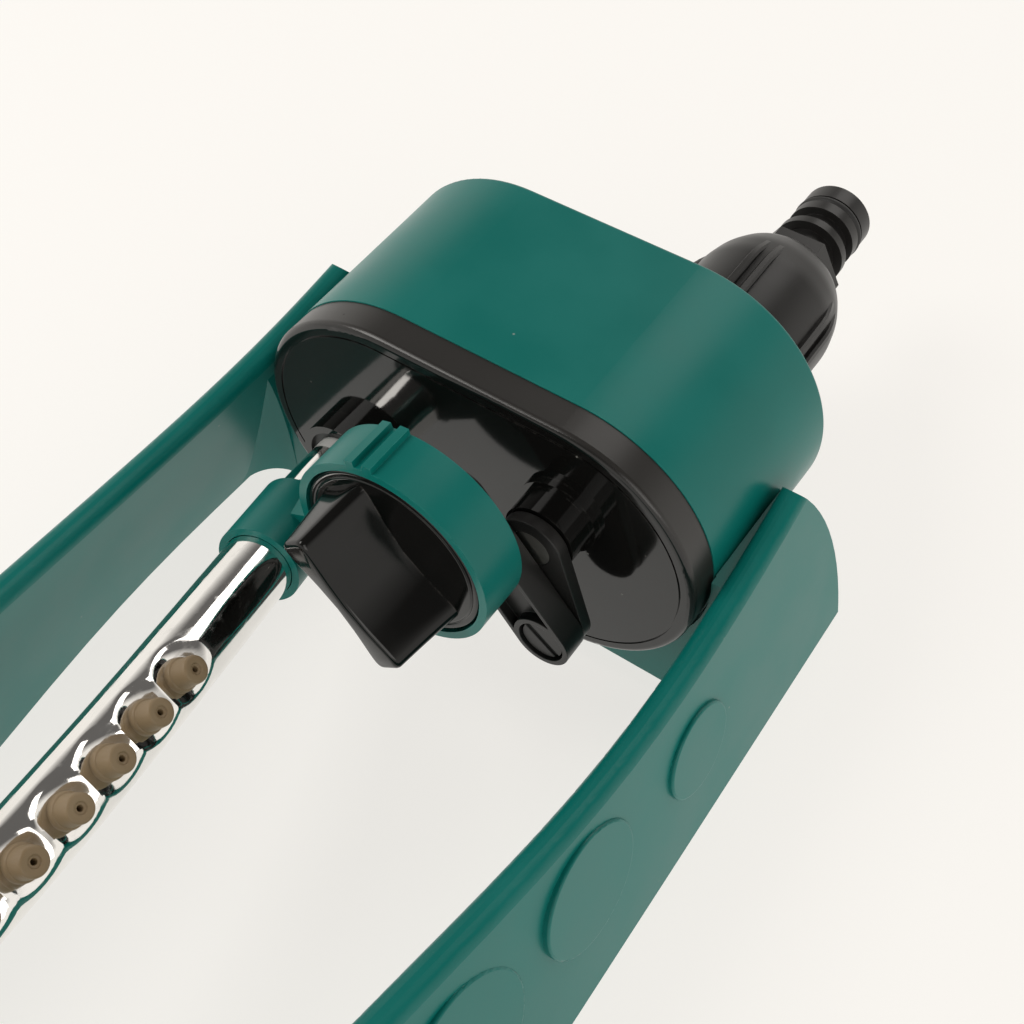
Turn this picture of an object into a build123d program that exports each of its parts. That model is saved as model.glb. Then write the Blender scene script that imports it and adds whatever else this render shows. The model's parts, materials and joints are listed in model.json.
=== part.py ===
from build123d import *
import math
import os

# Oscillating lawn sprinkler. Millimetres, +Z up, the ground at z = 0.
# X runs along the motor housing, +Y points from the spray tube towards the hose.
# The origin is on the ground at the middle of the whole sprinkler's outline.

# Motor housing: a stadium lying on its side, extruded along Y
HOUSING_LENGTH = 100.0
HOUSING_HEIGHT = 61.3
HOUSING_DEPTH = 50.1
HOUSING_Z = 37.5
COVER_Y = 111.0
COVER_DEPTH = 7.3
WALL = 2.5
DRAFT_DEG = 1.1
FIT_GAP = 0.05
BODY_GAP = 0.3

# Axes that run along Y: their X and Z places
TUBE_X, TUBE_Z = -27.6, HOUSING_Z - 5.95
CRANK_X, CRANK_Z = 21.0, HOUSING_Z + 9.5
INLET_X, INLET_Z = 23.5, HOUSING_Z + 2.5
DIAL_X, DIAL_Z = 3.3, HOUSING_Z + 13.75

# Spray tube: straight ends, then rising legs and one long arc that holds the nozzles
TUBE_R = 7.0
TUBE_BORE_R = 6.1
NOZZLE_TILT_DEG = 45.5
TUBE_RISE_DEG = 17.5
TUBE_BEND_AT = 15.0
TUBE_BEND_R = 30.0
TUBE_ARC_R = 290.0
TUBE_RISE_LENGTH = 54.0
TUBE_START = 7.0
NOZZLE_COUNT = 19
NOZZLE_R = 2.65
NOZZLE_HEIGHT = 3.1

# Swing drive: crank, link and the gears behind them
CRANK_LENGTH = 18.83
CRANK_DEG = -69.4
LINK_LENGTH = 32.3
LINK_DEG = 129.0
GEAR_MODULE = 0.7
WHEEL_TEETH = 36
PINION_TEETH = 12
PRESSURE_DEG = 25.0
GEAR_WIDTH = 5.0

# Frame
FRAME_FRONT = 327.0
FRAME_REAR = -44.0
LEG_OUT_X = 66.6
CREST_R = 2.3
FOOT_CUT = 2.0
CRADLE_BACK = 5.5
CORNER_R = 9.0
END_RISE = 9.0
REAR_ARC_R = 70.0
REAR_ARC_Z = 5.0
REAR_END = 42.2
MEDALLIONS = [(15.6, 9.7, 23.0), (50.1, 12.7, 26.8), (84.0, 15.0, 27.5)]
POST_PLACES = [(sx * 38.0, HOUSING_Z + sz * 14.0) for sx in (-1, 1) for sz in (-1, 1)]
FOOT_SCREW_PLACES = [(-14.0, 18.0), (14.0, 18.0), (-14.0, 38.0), (14.0, 38.0)]


def ahead(distance):
    """Y of a plane this far in front of the cover's face, on the tube's side."""
    return COVER_Y - distance


def behind(distance):
    """Y of a plane this far behind the cover's face, on the hose's side."""
    return COVER_Y + distance


def rod(x, z, y_low, y_high, radius):
    """A round bar along Y."""
    place = Pos(x, (y_low + y_high) / 2, z) * Rot(90, 0, 0)
    return place * Cylinder(radius, y_high - y_low)


def ring(x, z, y_low, y_high, outer, inner):
    """A round sleeve along Y."""
    return rod(x, z, y_low, y_high, outer) - rod(x, z, y_low - 1, y_high + 1, inner)


def cone(x, z, y_low, y_high, low_radius, high_radius):
    """A tapered round bar along Y."""
    place = Pos(x, (y_low + y_high) / 2, z) * Rot(-90, 0, 0)
    return place * Cone(low_radius, high_radius, y_high - y_low)


def section_plane(y):
    """A plane across the sprinkler: its own x and y are X and Z, and it faces -Y."""
    return Plane(origin=(0, y, 0), x_dir=(1, 0, 0), z_dir=(0, -1, 0))


def slab(sketch, y_low, y_high):
    """A flat outline, drawn in X and Z, made thick along Y."""
    return extrude(section_plane(y_high) * sketch, amount=y_high - y_low)


def stadium(inset):
    """The housing's outline, moved in by inset."""
    outline = SlotOverall(HOUSING_LENGTH - 2 * inset, HOUSING_HEIGHT - 2 * inset)
    return Pos(0, HOUSING_Z) * outline


def shell_block(inset, y_low, y_high):
    """The tapered stadium that the teal casing is cut from."""
    grow = (y_low - behind(COVER_DEPTH)) * math.tan(math.radians(DRAFT_DEG))
    outline = stadium(inset - grow)
    plane = Plane(origin=(0, y_low, 0), x_dir=(-1, 0, 0), z_dir=(0, 1, 0))
    return extrude(plane * mirror(outline, Plane.YZ), amount=y_high - y_low, taper=-DRAFT_DEG)


def polar(x, z, length, degrees):
    """The place at this length and angle from x, z, the angle from +X towards +Z."""
    angle = math.radians(degrees)
    return x + length * math.cos(angle), z + length * math.sin(angle)


PIN_X, PIN_Z = polar(CRANK_X, CRANK_Z, CRANK_LENGTH, CRANK_DEG)
EYE_X, EYE_Z = polar(PIN_X, PIN_Z, LINK_LENGTH, LINK_DEG)
GEAR_SPACING = GEAR_MODULE * (WHEEL_TEETH + PINION_TEETH) / 2
IDLER_DEG = 190.0
TURBINE_DEG = 210.0
IDLER_X, IDLER_Z = polar(CRANK_X, CRANK_Z, GEAR_SPACING, IDLER_DEG)
TURBINE_X, TURBINE_Z = polar(IDLER_X, IDLER_Z, GEAR_SPACING, TURBINE_DEG)


# ---------------------------------------------------------------- frame


def leg_station(distance):
    """Crest X, crest Z and inner foot X of a leg, this far in front of the cover."""
    middle = (FRAME_FRONT + FRAME_REAR) / 2
    reach = min(abs(distance - middle) / (middle - 20.0), 1.0)
    swell = 0.5 + 0.5 * math.cos(math.pi * reach)
    beyond = max(abs(distance - middle) - middle, 0.0) / abs(FRAME_REAR)
    end = END_RISE * min(beyond, 1.0)
    return 54.6 - 8.3 * swell - 0.22 * end, 42.0 + 12.0 * swell + end, 63.3 - 10.1 * swell


def leg_section(distance, skin):
    """The leg's section, a leaning blade with a rounded crest, moved in by skin."""
    crest_x, crest_z, foot_x = leg_station(distance)
    half, low = 2.7, -FOOT_CUT
    if skin > 0:
        half, crest_z = 0.6, crest_z - 4.5 * skin
    points = [
        (LEG_OUT_X - skin, low),
        (crest_x + half, crest_z),
        (crest_x - half, crest_z - 0.8),
        (foot_x + skin, low),
    ]
    face = make_face(Polyline(*points, close=True))
    if skin == 0:
        face = fillet(face.vertices().group_by(Axis.Y)[-2] + face.vertices().group_by(Axis.Y)[-1], CREST_R)
    return section_plane(ahead(distance)) * face


def leg():
    """One side leg: a lofted shell, open underneath along its middle."""
    middle = (FRAME_FRONT + FRAME_REAR) / 2
    near = [FRAME_REAR, -15, 20, 50, 80, 110]
    stations = near + [middle] + [2 * middle - s for s in reversed(near)]
    body = loft([leg_section(s, 0) for s in stations])
    hollow = loft([leg_section(s, 2.0) for s in stations if 75 < s < 2 * middle - 75])
    return body - hollow


def cradle():
    """The saddle under and beside the housing that joins the legs, with rounded inner corners."""
    front, rear = behind(CRADLE_BACK), behind(-FRAME_REAR)
    outline = Polyline((-63, 0.8), (63, 0.8), (56.0, 41.4), (-56.0, 41.4), close=True)
    block = slab(make_face(outline), front, rear)
    corner = slab(make_face(outline), front - CORNER_R, front)
    middle = Box(2 * (62.5 - CORNER_R), 3 * CORNER_R, 120)
    corner -= Pos(0, front - 1.5 * CORNER_R, 0) * middle
    for side in (-1, 1):
        lean = Rot(0, -side * 11.5, 0)
        corner -= Pos(side * (62.5 - CORNER_R), front - CORNER_R, 0) * lean * Cylinder(CORNER_R, 120)
    return block + corner


def far_wall():
    """The upright at the far end, with the eye that carries the tube."""
    low, high = ahead(FRAME_FRONT - 1.0), ahead(FRAME_FRONT - 7.0)
    outline = Polyline((-63, 0.8), (63, 0.8), (55, 40.5), (-55, 40.5), close=True)
    window = Polyline((-8, 9), (50, 9), (45, 31), (-8, 31), close=True)
    wall = slab(make_face(outline), low, high)
    wall -= slab(fillet(make_face(window).vertices(), 5), low - 1, high + 1)
    return wall + rod(TUBE_X, TUBE_Z, low, high + 3.0, 11.0)


def leg_medallions():
    """Raised discs on the outer walls, larger towards the middle of each leg."""
    discs = Part()
    for distance, radius, height in MEDALLIONS:
        crest_x, crest_z, _ = leg_station(distance)
        lean = math.atan2(LEG_OUT_X - crest_x - 2.7, crest_z)
        wall_x = LEG_OUT_X - height * math.tan(lean)
        for mirrored in (distance, FRAME_FRONT + FRAME_REAR - distance):
            for side in (-1, 1):
                place = Pos(side * wall_x, ahead(mirrored), height)
                tilt = Rot(0, side * (90 - math.degrees(lean)), 0)
                disc = Cylinder(radius, 1.4)
                discs += place * tilt * fillet(disc.edges().group_by(Axis.Z)[-1], 0.5)
    return discs


def rear_cut():
    """What is cut away behind the saddle: all that is outside a large round, highest at its front."""
    centre_y = behind(REAR_END - REAR_ARC_R)
    length = 160
    round_end = Rot(0, 90, 0) * Cylinder(REAR_ARC_R, length + 10)
    block = Pos(0, behind(60), 30) * Box(length, 90, 70)
    return block - Pos(0, centre_y, REAR_ARC_Z) * round_end


def base_frame():
    """The one-piece teal frame."""
    right = leg()
    frame = right + mirror(right, Plane.YZ) + cradle() + far_wall() + leg_medallions()
    frame -= rear_cut()
    frame -= Pos(0, 0, -FOOT_CUT) * Box(200, 600, 2 * FOOT_CUT)
    frame -= shell_block(-0.2, behind(COVER_DEPTH), behind(HOUSING_DEPTH + 3))
    frame -= slab(stadium(-0.35), ahead(40), behind(COVER_DEPTH))
    frame -= rod(TUBE_X, TUBE_Z, ahead(FRAME_FRONT + 2), ahead(FRAME_FRONT - 12), 6.55)
    for x, depth in FOOT_SCREW_PLACES:
        frame -= Pos(x, behind(depth), 0) * Cylinder(1.75, 30)
        frame -= Pos(x, behind(depth), 1.5) * Cylinder(3.3, 3.2)
    return frame


def foot_screws():
    """Four screws that hold the housing down on the saddle."""
    screws = []
    for x, depth in FOOT_SCREW_PLACES:
        head = Pos(x, behind(depth), 1.9) * Cylinder(3.0, 2.0)
        shank = Pos(x, behind(depth), 6.4) * Cylinder(1.45, 9.0)
        slot = Pos(x, behind(depth), 1.0) * Box(0.8, 4.4, 1.0)
        cross = Pos(x, behind(depth), 1.0) * Box(4.4, 0.8, 1.0)
        screws.append(head + shank - slot - cross)
    return Compound(children=screws)


# ---------------------------------------------------------------- housing


def housing_shell():
    """The teal casing: tapered walls, flat back, screw posts and the inlet stub."""
    low, high = behind(COVER_DEPTH), behind(HOUSING_DEPTH)
    outer = shell_block(0, low, high)
    outer = fillet(outer.edges().group_by(Axis.Y)[-1], 0.9)
    shell = outer - shell_block(WALL, low - 0.001, high - WALL)
    for x, z in POST_PLACES:
        shell += ring(x, z, behind(18), high - 0.5, 3.6, 1.6)
    for x, depth in FOOT_SCREW_PLACES:
        pad = Pos(x, behind(depth), HOUSING_Z - HOUSING_HEIGHT / 2 + 4.0) * Cylinder(3.4, 6.0)
        shell += pad & shell_block(0.5, low, high)
    shell += ring(TURBINE_X, TURBINE_Z, high - 6.5, high - WALL + 0.5, 4.0, 1.55)
    shell += rod(INLET_X, INLET_Z, high - 1, behind(60), 13.1)
    for turn in range(4):
        shell += rod(INLET_X, INLET_Z, behind(52.4 + 1.8 * turn), behind(53.2 + 1.8 * turn), 13.5)
    shell -= rod(INLET_X, INLET_Z, high - 5, behind(61), 9.0)
    for x, z in POST_PLACES:
        shell -= rod(x, z, behind(15), high + 1, 1.6)
        shell -= rod(x, z, high - 2.4, high + 1, 3.1)
    for x, depth in FOOT_SCREW_PLACES:
        shell -= Pos(x, behind(depth), 8.0) * Cylinder(1.5, 7.0)
    return shell


def front_cover():
    """The glossy black lid with the outlet collar and the crank boss."""
    face, back = COVER_Y, behind(COVER_DEPTH)
    lid = slab(stadium(0.25), face, back)
    lid = fillet(lid.edges().group_by(Axis.Y)[0], 1.4)
    lid -= slab(stadium(3.0), face + WALL, back + 1)
    tongue = slab(stadium(2.8), face + WALL - 0.5, back + 4.0) - slab(stadium(4.8), face, back + 5)
    tongue -= slab(stadium(1.0), back + 1.3, back + 2.7) - slab(stadium(3.7), back + 1, back + 3)
    lid += tongue
    lid += rod(TUBE_X, TUBE_Z, ahead(5.0), face + 1, 10.3)
    lid += rod(TUBE_X, TUBE_Z, face, behind(9), 9.4)
    lid += rod(CRANK_X, CRANK_Z, ahead(1.6), face + 1, 8.4)
    lid += rod(CRANK_X, CRANK_Z, ahead(7.3), behind(6), 7.3)
    for x, z in POST_PLACES:
        lid += rod(x, z, face + 1, behind(17.8), 3.4)
        lid -= rod(x, z, behind(8), behind(20), 1.45)
    lid -= rod(TUBE_X, TUBE_Z, ahead(8), behind(12), 8.6)
    lid += ring(TUBE_X, TUBE_Z, behind(7.5), behind(9), 9.4, 5.6)
    lid -= rod(CRANK_X, CRANK_Z, ahead(9), behind(8), 4.0 + FIT_GAP)
    lid -= rod(CRANK_X, CRANK_Z, behind(1.0), behind(3.2), 5.6)
    groove = slab(stadium(2.9), ahead(1), face + 0.35) - slab(stadium(3.3), ahead(2), face + 1)
    return lid - groove


def cover_seal():
    """Rubber ring in the lid's groove that seals it to the casing."""
    back = behind(COVER_DEPTH)
    outer = slab(stadium(WALL), back + 1.35, back + 2.65)
    return outer - slab(stadium(3.7), back + 1, back + 3)


def housing_screws():
    """Four long screws from the back of the casing into the lid's posts."""
    screws = []
    head_end = behind(HOUSING_DEPTH)
    for x, z in POST_PLACES:
        screw = rod(x, z, behind(9), head_end - 2.0, 1.4) + rod(x, z, head_end - 2.4, head_end - 0.4, 2.9)
        screw -= Pos(x, head_end - 0.6, z) * Box(4.2, 1.2, 0.8)
        screw -= Pos(x, head_end - 0.6, z) * Box(0.8, 1.2, 4.2)
        screws.append(screw)
    return Compound(children=screws)


def outlet_bush():
    """Plastic bearing sleeve pressed in the outlet collar."""
    bush = ring(TUBE_X, TUBE_Z, ahead(4.2), behind(4.0), 8.55, 7.0 + FIT_GAP)
    return bush


def outlet_seal():
    """Rubber ring behind the bush that seals the turning outlet."""
    return ring(TUBE_X, TUBE_Z, behind(4.1), behind(7.3), 8.5, 7.0 + FIT_GAP)


def crank_seal():
    """Rubber ring round the output shaft, inside the boss."""
    return ring(CRANK_X, CRANK_Z, behind(1.1), behind(3.1), 5.5, 4.0 + FIT_GAP)


# ---------------------------------------------------------------- inlet


def inlet_nut():
    """Domed swivel nut with paired grip fins, free to turn on the adapter."""
    nut = rod(INLET_X, INLET_Z, behind(54), behind(76), 16.2)
    nut += cone(INLET_X, INLET_Z, behind(76), behind(86), 16.2, 11.6)
    for index in range(5):
        for spread in (-5.5, 5.5):
            fin = Pos(15.2, 0, 0) * Box(5.0, 24.0, 1.7)
            place = Pos(INLET_X, behind(67), INLET_Z) * Rot(0, 72 * index - 93 + spread, 0)
            nut += place * fin
    nut &= rod(INLET_X, INLET_Z, behind(54), behind(74), 17.9) + cone(
        INLET_X, INLET_Z, behind(74), behind(86), 17.9, 11.6)
    nut -= rod(INLET_X, INLET_Z, behind(53), behind(64), 13.5 + BODY_GAP)
    nut -= rod(INLET_X, INLET_Z, behind(63), behind(72), 12.3)
    return nut - rod(INLET_X, INLET_Z, behind(70), behind(90), 8.0)


def inlet_washer():
    """Flat rubber washer between the stub and the adapter's flange."""
    return ring(INLET_X, INLET_Z, behind(60), behind(62.4), 12.0, 7.5)


def inlet_filter():
    """Dished strainer that keeps grit out of the turbine."""
    cup = ring(INLET_X, INLET_Z, behind(46), behind(60), 8.8, 8.0)
    cup += rod(INLET_X, INLET_Z, behind(46), behind(47), 8.8)
    for row in range(-2, 3):
        for column in range(-2, 3):
            x, z = INLET_X + 2.7 * column, INLET_Z + 2.7 * row
            if math.hypot(x - INLET_X, z - INLET_Z) < 7.0:
                cup -= rod(x, z, behind(45), behind(48), 0.8)
    return cup


def hose_adapter():
    """Male quick-connect: flange inside the nut, hexagon, neck and grooved barrel."""
    x, z = INLET_X, INLET_Z
    body = rod(x, z, behind(62.4), behind(69.5), 11.9)
    body += rod(x, z, behind(69), behind(90), 7.9)
    hexagon = Pos(x, z) * RegularPolygon(10.4, 6)
    body += slab(hexagon, behind(87), behind(91))
    body += rod(x, z, behind(90), behind(112), 6.2)
    body += cone(x, z, behind(91), behind(93), 9.0, 6.2)
    body += rod(x, z, behind(96.5), behind(98.5), 8.3)
    body += cone(x, z, behind(98.5), behind(100.5), 8.3, 6.3)
    body += rod(x, z, behind(102.5), behind(105.2), 8.0)
    body += rod(x, z, behind(107.2), behind(112), 8.0)
    body = chamfer(body.edges().group_by(Axis.Y)[-1], 0.7)
    return body - rod(x, z, behind(60), behind(113), 4.6)


def adapter_o_ring():
    """Sealing ring in the barrel's groove."""
    place = Pos(INLET_X, behind(106.2), INLET_Z) * Rot(90, 0, 0)
    return place * Torus(7.25, 0.95)


# ---------------------------------------------------------------- gears


def tooth_flank(teeth, radius):
    """Half the tooth's angle at this radius, on an involute with slack."""
    pitch_r = GEAR_MODULE * teeth / 2
    base_r = pitch_r * math.cos(math.radians(PRESSURE_DEG))

    def involute(at):
        pressure = math.acos(min(1.0, base_r / at))
        return math.tan(pressure) - pressure

    slack = 0.07 / pitch_r
    at_pitch = math.pi / (2 * teeth) - slack
    return at_pitch + involute(pitch_r) - involute(max(radius, base_r))


def spur_gear(x, z, y_low, y_high, teeth, first_deg, bore_r):
    """A spur gear along Y whose first tooth points at first_deg."""
    pitch_r = GEAR_MODULE * teeth / 2
    tip_r = pitch_r + 0.9 * GEAR_MODULE
    root_r = pitch_r - 1.3 * GEAR_MODULE
    radii = [root_r] + [root_r + (tip_r - root_r) * step / 4 for step in (1, 2, 3, 4)]
    points = []
    for tooth in range(teeth):
        middle = math.radians(first_deg) + 2 * math.pi * tooth / teeth
        flank = [(radius, tooth_flank(teeth, radius)) for radius in radii]
        sides = [(r, middle - a) for r, a in flank] + [(r, middle + a) for r, a in reversed(flank)]
        points += [(x + r * math.cos(a), z + r * math.sin(a)) for r, a in sides]
    blank = slab(make_face(Polyline(*points, close=True)), y_low, y_high)
    return blank - rod(x, z, y_low - 1, y_high + 1, bore_r)


def output_gear():
    """The last wheel of the train, on the crank's shaft."""
    return spur_gear(CRANK_X, CRANK_Z, behind(8), behind(8 + GEAR_WIDTH), WHEEL_TEETH, IDLER_DEG, 4.0)


def output_shaft():
    """Shaft through the boss: gear behind it, crank arm in front."""
    shaft = rod(CRANK_X, CRANK_Z, ahead(10.0), behind(14), 4.0)
    return shaft + rod(CRANK_X, CRANK_Z, behind(13), behind(26), 3.0)


def idler_gear():
    """Two wheels moulded in one: a pinion in front, a large wheel behind."""
    shift = IDLER_DEG + 180 + 180 / PINION_TEETH
    pinion = spur_gear(IDLER_X, IDLER_Z, behind(7.5), behind(15), PINION_TEETH, shift, 1.5 + FIT_GAP)
    wheel = spur_gear(
        IDLER_X, IDLER_Z, behind(15), behind(15 + GEAR_WIDTH), WHEEL_TEETH, TURBINE_DEG, 1.5 + FIT_GAP)
    return pinion + wheel


def idler_pin():
    """Steel pin that the idler turns on."""
    return rod(IDLER_X, IDLER_Z, behind(6.5), behind(26), 1.5)


def gear_plate():
    """Plate that parts the gears from the wet chamber and holds the shafts."""
    plate = slab(stadium(5.2), behind(23.5), behind(26.0))
    for x, z in POST_PLACES:
        plate -= rod(x, z, behind(20), behind(30), 3.9)
    plate -= rod(CRANK_X, CRANK_Z, behind(20), behind(30), 3.0 + FIT_GAP)
    plate -= rod(IDLER_X, IDLER_Z, behind(20), behind(30), 1.5)
    plate -= rod(TURBINE_X, TURBINE_Z, behind(20), behind(30), 1.5 + FIT_GAP)
    return plate - rod(TUBE_X - 2, TUBE_Z, behind(20), behind(30), 5.0)


def turbine_pinion():
    """Small gear on the turbine's shaft."""
    shift = TURBINE_DEG + 180 + 180 / PINION_TEETH
    return spur_gear(TURBINE_X, TURBINE_Z, behind(15), behind(21), PINION_TEETH, shift, 1.5)


def turbine_shaft():
    """Steel shaft of the turbine."""
    return rod(TURBINE_X, TURBINE_Z, behind(14.5), behind(46), 1.5)


def turbine_wheel():
    """Bladed wheel that the water turns."""
    wheel = rod(TURBINE_X, TURBINE_Z, behind(28), behind(41), 3.6)
    wheel += rod(TURBINE_X, TURBINE_Z, behind(28), behind(29.2), 11.5)
    for blade in range(10):
        place = Pos(TURBINE_X, behind(34.5), TURBINE_Z) * Rot(0, 36 * blade, 0)
        wheel += place * Pos(7.6, 0, 0) * Box(8.2, 12.0, 1.1)
    return wheel - rod(TURBINE_X, TURBINE_Z, behind(20), behind(46), 1.5)


# ---------------------------------------------------------------- crank and link


def bar(x0, z0, r0, x1, z1, r1, y_low, y_high):
    """A flat bar with round ends of two sizes."""
    span = math.hypot(x1 - x0, z1 - z0)
    along = math.atan2(z1 - z0, x1 - x0)
    lean = math.acos((r0 - r1) / span)
    outline = []
    for turn in (along + lean, along - lean):
        outline.append((x0 + r0 * math.cos(turn), z0 + r0 * math.sin(turn)))
    for turn in (along - lean, along + lean):
        outline.append((x1 + r1 * math.cos(turn), z1 + r1 * math.sin(turn)))
    side = slab(make_face(Polyline(*outline, close=True)), y_low, y_high)
    return side + rod(x0, z0, y_low, y_high, r0) + rod(x1, z1, y_low, y_high, r1)


def crank_arm():
    """Rear bar: fixed on the output shaft, with the pivot stud at its other end."""
    arm = bar(CRANK_X, CRANK_Z, 6.8, PIN_X, PIN_Z, 5.7, ahead(10.2), ahead(7.6))
    arm -= rod(CRANK_X, CRANK_Z, ahead(12), ahead(5), 4.0)
    return arm + rod(PIN_X, PIN_Z, ahead(14.2), ahead(9), 3.0)


def link_arm():
    """Front bar: a ribbed link from the crank's stud to the dial's stud."""
    low, high = ahead(16.2), ahead(10.5)
    link = bar(PIN_X, PIN_Z, 6.0, EYE_X, EYE_Z, 5.4, low, high)
    pocket = bar(PIN_X, PIN_Z, 4.9, EYE_X, EYE_Z, 4.3, low - 1, low + 2.0)
    pocket -= rod(PIN_X, PIN_Z, low - 2, high, 6.0) + rod(EYE_X, EYE_Z, low - 2, high, 5.4)
    link -= pocket
    link -= rod(PIN_X, PIN_Z, low - 1, high + 1, 3.0 + FIT_GAP)
    return link - rod(PIN_X, PIN_Z, low - 1, low + 2.0, 4.8)


def link_screw():
    """Slotted screw that keeps the link on the crank's stud."""
    head = rod(PIN_X, PIN_Z, ahead(15.6), ahead(14.2), 4.4)
    slot = Pos(PIN_X, ahead(15.6), PIN_Z) * Rot(0, 38, 0) * Box(9.0, 1.2, 1.3)
    return head - slot


# ---------------------------------------------------------------- spray tube

TUBE_PLANE = Plane(
    origin=(TUBE_X, COVER_Y, TUBE_Z),
    x_dir=(0, -1, 0),
    z_dir=(-math.sin(math.radians(NOZZLE_TILT_DEG)), 0, math.cos(math.radians(NOZZLE_TILT_DEG))),
)
RISE = math.radians(TUBE_RISE_DEG)
LEG_RUN = TUBE_RISE_LENGTH + TUBE_ARC_R * math.tan(RISE)
APEX_ALONG = TUBE_BEND_AT + LEG_RUN * math.cos(RISE)
ARC_CENTRE_UP = LEG_RUN * math.sin(RISE) - TUBE_ARC_R / math.cos(RISE)
TUBE_END = 2 * APEX_ALONG - TUBE_START


def tube_path():
    """Centre line of the tube in its own plane: along -Y, and up towards the nozzles."""
    corners = [
        (TUBE_START, 0),
        (TUBE_BEND_AT, 0),
        (APEX_ALONG, LEG_RUN * math.sin(RISE)),
        (2 * APEX_ALONG - TUBE_BEND_AT, 0),
        (TUBE_END, 0),
    ]
    return TUBE_PLANE * FilletPolyline(*corners, radius=[TUBE_BEND_R, TUBE_ARC_R, TUBE_BEND_R])


def nozzle_planes():
    """One plane for each nozzle, on the tube's centre line and facing outwards."""
    planes = []
    for index in range(NOZZLE_COUNT):
        angle = RISE * (2 * index / (NOZZLE_COUNT - 1) - 1)
        along = APEX_ALONG + TUBE_ARC_R * math.sin(angle)
        up = ARC_CENTRE_UP + TUBE_ARC_R * math.cos(angle)
        origin = TUBE_PLANE.from_local_coords((along, up, 0))
        tip = TUBE_PLANE.from_local_coords((along + math.sin(angle), up + math.cos(angle), 0))
        planes.append(Plane(origin=origin, z_dir=tip - origin))
    return planes


def spray_tube():
    """Bent aluminium tube with a row of nozzle holes."""
    path = tube_path()
    start = Plane(origin=path @ 0, z_dir=path % 0)
    tube = sweep(start * Circle(TUBE_R), path=path) - sweep(start * Circle(TUBE_BORE_R), path=path)
    for plane in nozzle_planes():
        tube -= plane * Pos(0, 0, 7.5) * Cylinder(NOZZLE_R + FIT_GAP, 6.0)
    return tube


def nozzles():
    """Rubber jets pushed out through the tube's holes from inside."""
    jets = []
    for plane in nozzle_planes():
        top = TUBE_R + NOZZLE_HEIGHT
        jet = Pos(0, 0, 4.6) * Cylinder(3.2, 1.0)
        jet += Pos(0, 0, 6.4) * Cylinder(NOZZLE_R, 3.8)
        jet += Pos(0, 0, 7.3) * Cylinder(3.0, 0.6)
        jet += Pos(0, 0, (8.3 + top) / 2) * Cone(NOZZLE_R, 2.35, top - 8.3)
        jet -= Pos(0, 0, 7.0) * Cylinder(0.6, 12.0)
        jets.append(plane * jet)
    return Compound(children=jets)


def tube_nipple():
    """Pale plastic outlet that the tube is crimped on, turning in the bush."""
    nipple = rod(TUBE_X, TUBE_Z, ahead(6.9), behind(7.2), 7.0)
    nipple += rod(TUBE_X, TUBE_Z, ahead(10.2), ahead(6), TUBE_BORE_R)
    return nipple - rod(TUBE_X, TUBE_Z, ahead(13), behind(8), 4.2)


def end_journal():
    """Plug in the tube's far end whose stub turns in the frame's far eye."""
    tail = TUBE_END
    plug = rod(TUBE_X, TUBE_Z, ahead(tail + 2.0), ahead(tail), TUBE_R)
    plug += rod(TUBE_X, TUBE_Z, ahead(tail), ahead(tail - 3.2), TUBE_BORE_R)
    plug += rod(TUBE_X, TUBE_Z, ahead(FRAME_FRONT + 0.5), ahead(tail), 4.5)
    return plug - rod(TUBE_X, TUBE_Z, ahead(FRAME_FRONT + 2), ahead(tail - 8), 2.5)


def end_bush():
    """Bearing sleeve in the far eye."""
    return ring(
        TUBE_X, TUBE_Z, ahead(FRAME_FRONT - 0.6), ahead(FRAME_FRONT - 10.2), 6.5, 4.5 + FIT_GAP)


def drain_plug():
    """Screw plug with the cleaning needle, stored in the tube's far end."""
    x, z = TUBE_X, TUBE_Z
    plug = rod(x, z, ahead(FRAME_FRONT + 7.0), ahead(FRAME_FRONT + 0.5), 5.6)
    for index in range(12):
        place = Pos(x, ahead(FRAME_FRONT + 3.8), z) * Rot(0, 30 * index, 0)
        plug += place * Pos(5.6, 0, 0) * Box(0.9, 5.6, 1.2)
    plug += rod(x, z, ahead(FRAME_FRONT + 1), ahead(FRAME_FRONT - 12), 2.5 - FIT_GAP)
    return plug + rod(x, z, ahead(FRAME_FRONT - 11), ahead(FRAME_FRONT - 34), 0.6)


# ---------------------------------------------------------------- dial


def rise_place(distance):
    """Centre of the tube where it has run this far up its first rise."""
    along = TUBE_BEND_AT + distance * math.cos(RISE)
    return TUBE_PLANE.from_local_coords((along, distance * math.sin(RISE), 0))


def dial_holder():
    """Teal ring for the dial, with the open sleeve that clips on the tube."""
    face, back = ahead(27.5), ahead(16.9)
    start, end = rise_place(5.0), rise_place(21.5)
    along = end - start
    middle = Plane(origin=(start + end) / 2, z_dir=along)
    sleeve = middle * Cylinder(8.5, along.length)
    web_at = rise_place(11.0)
    web = bar(web_at.X, web_at.Z, 6.0, DIAL_X, DIAL_Z, 4.5, face + 1.5, back)
    holder = sleeve + web
    holder += rod(DIAL_X, DIAL_Z, face, back, 20.5)
    for side in (-1.6, 1.6):
        ridge = Pos(DIAL_X, (face + back) / 2, DIAL_Z) * Rot(0, -104 + side * 3.3, 0)
        holder += ridge * Pos(20.8, 0, 0) * Box(1.8, back - face, 1.9)
    holder -= rod(DIAL_X, DIAL_Z, face - 1, back - 1.8, 18.9)
    holder -= rod(DIAL_X, DIAL_Z, face, back + 1, 12.0)
    holder -= middle * Cylinder(TUBE_R + FIT_GAP, along.length + 20)
    down = TUBE_PLANE.from_local_coords((math.sin(RISE), -math.cos(RISE), 0)) - TUBE_PLANE.origin
    mouth = Plane(origin=(start + end) / 2 + down * 8.0, x_dir=along, z_dir=down)
    return holder - mouth * Box(along.length + 4, 9.6, 12.0)


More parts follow.
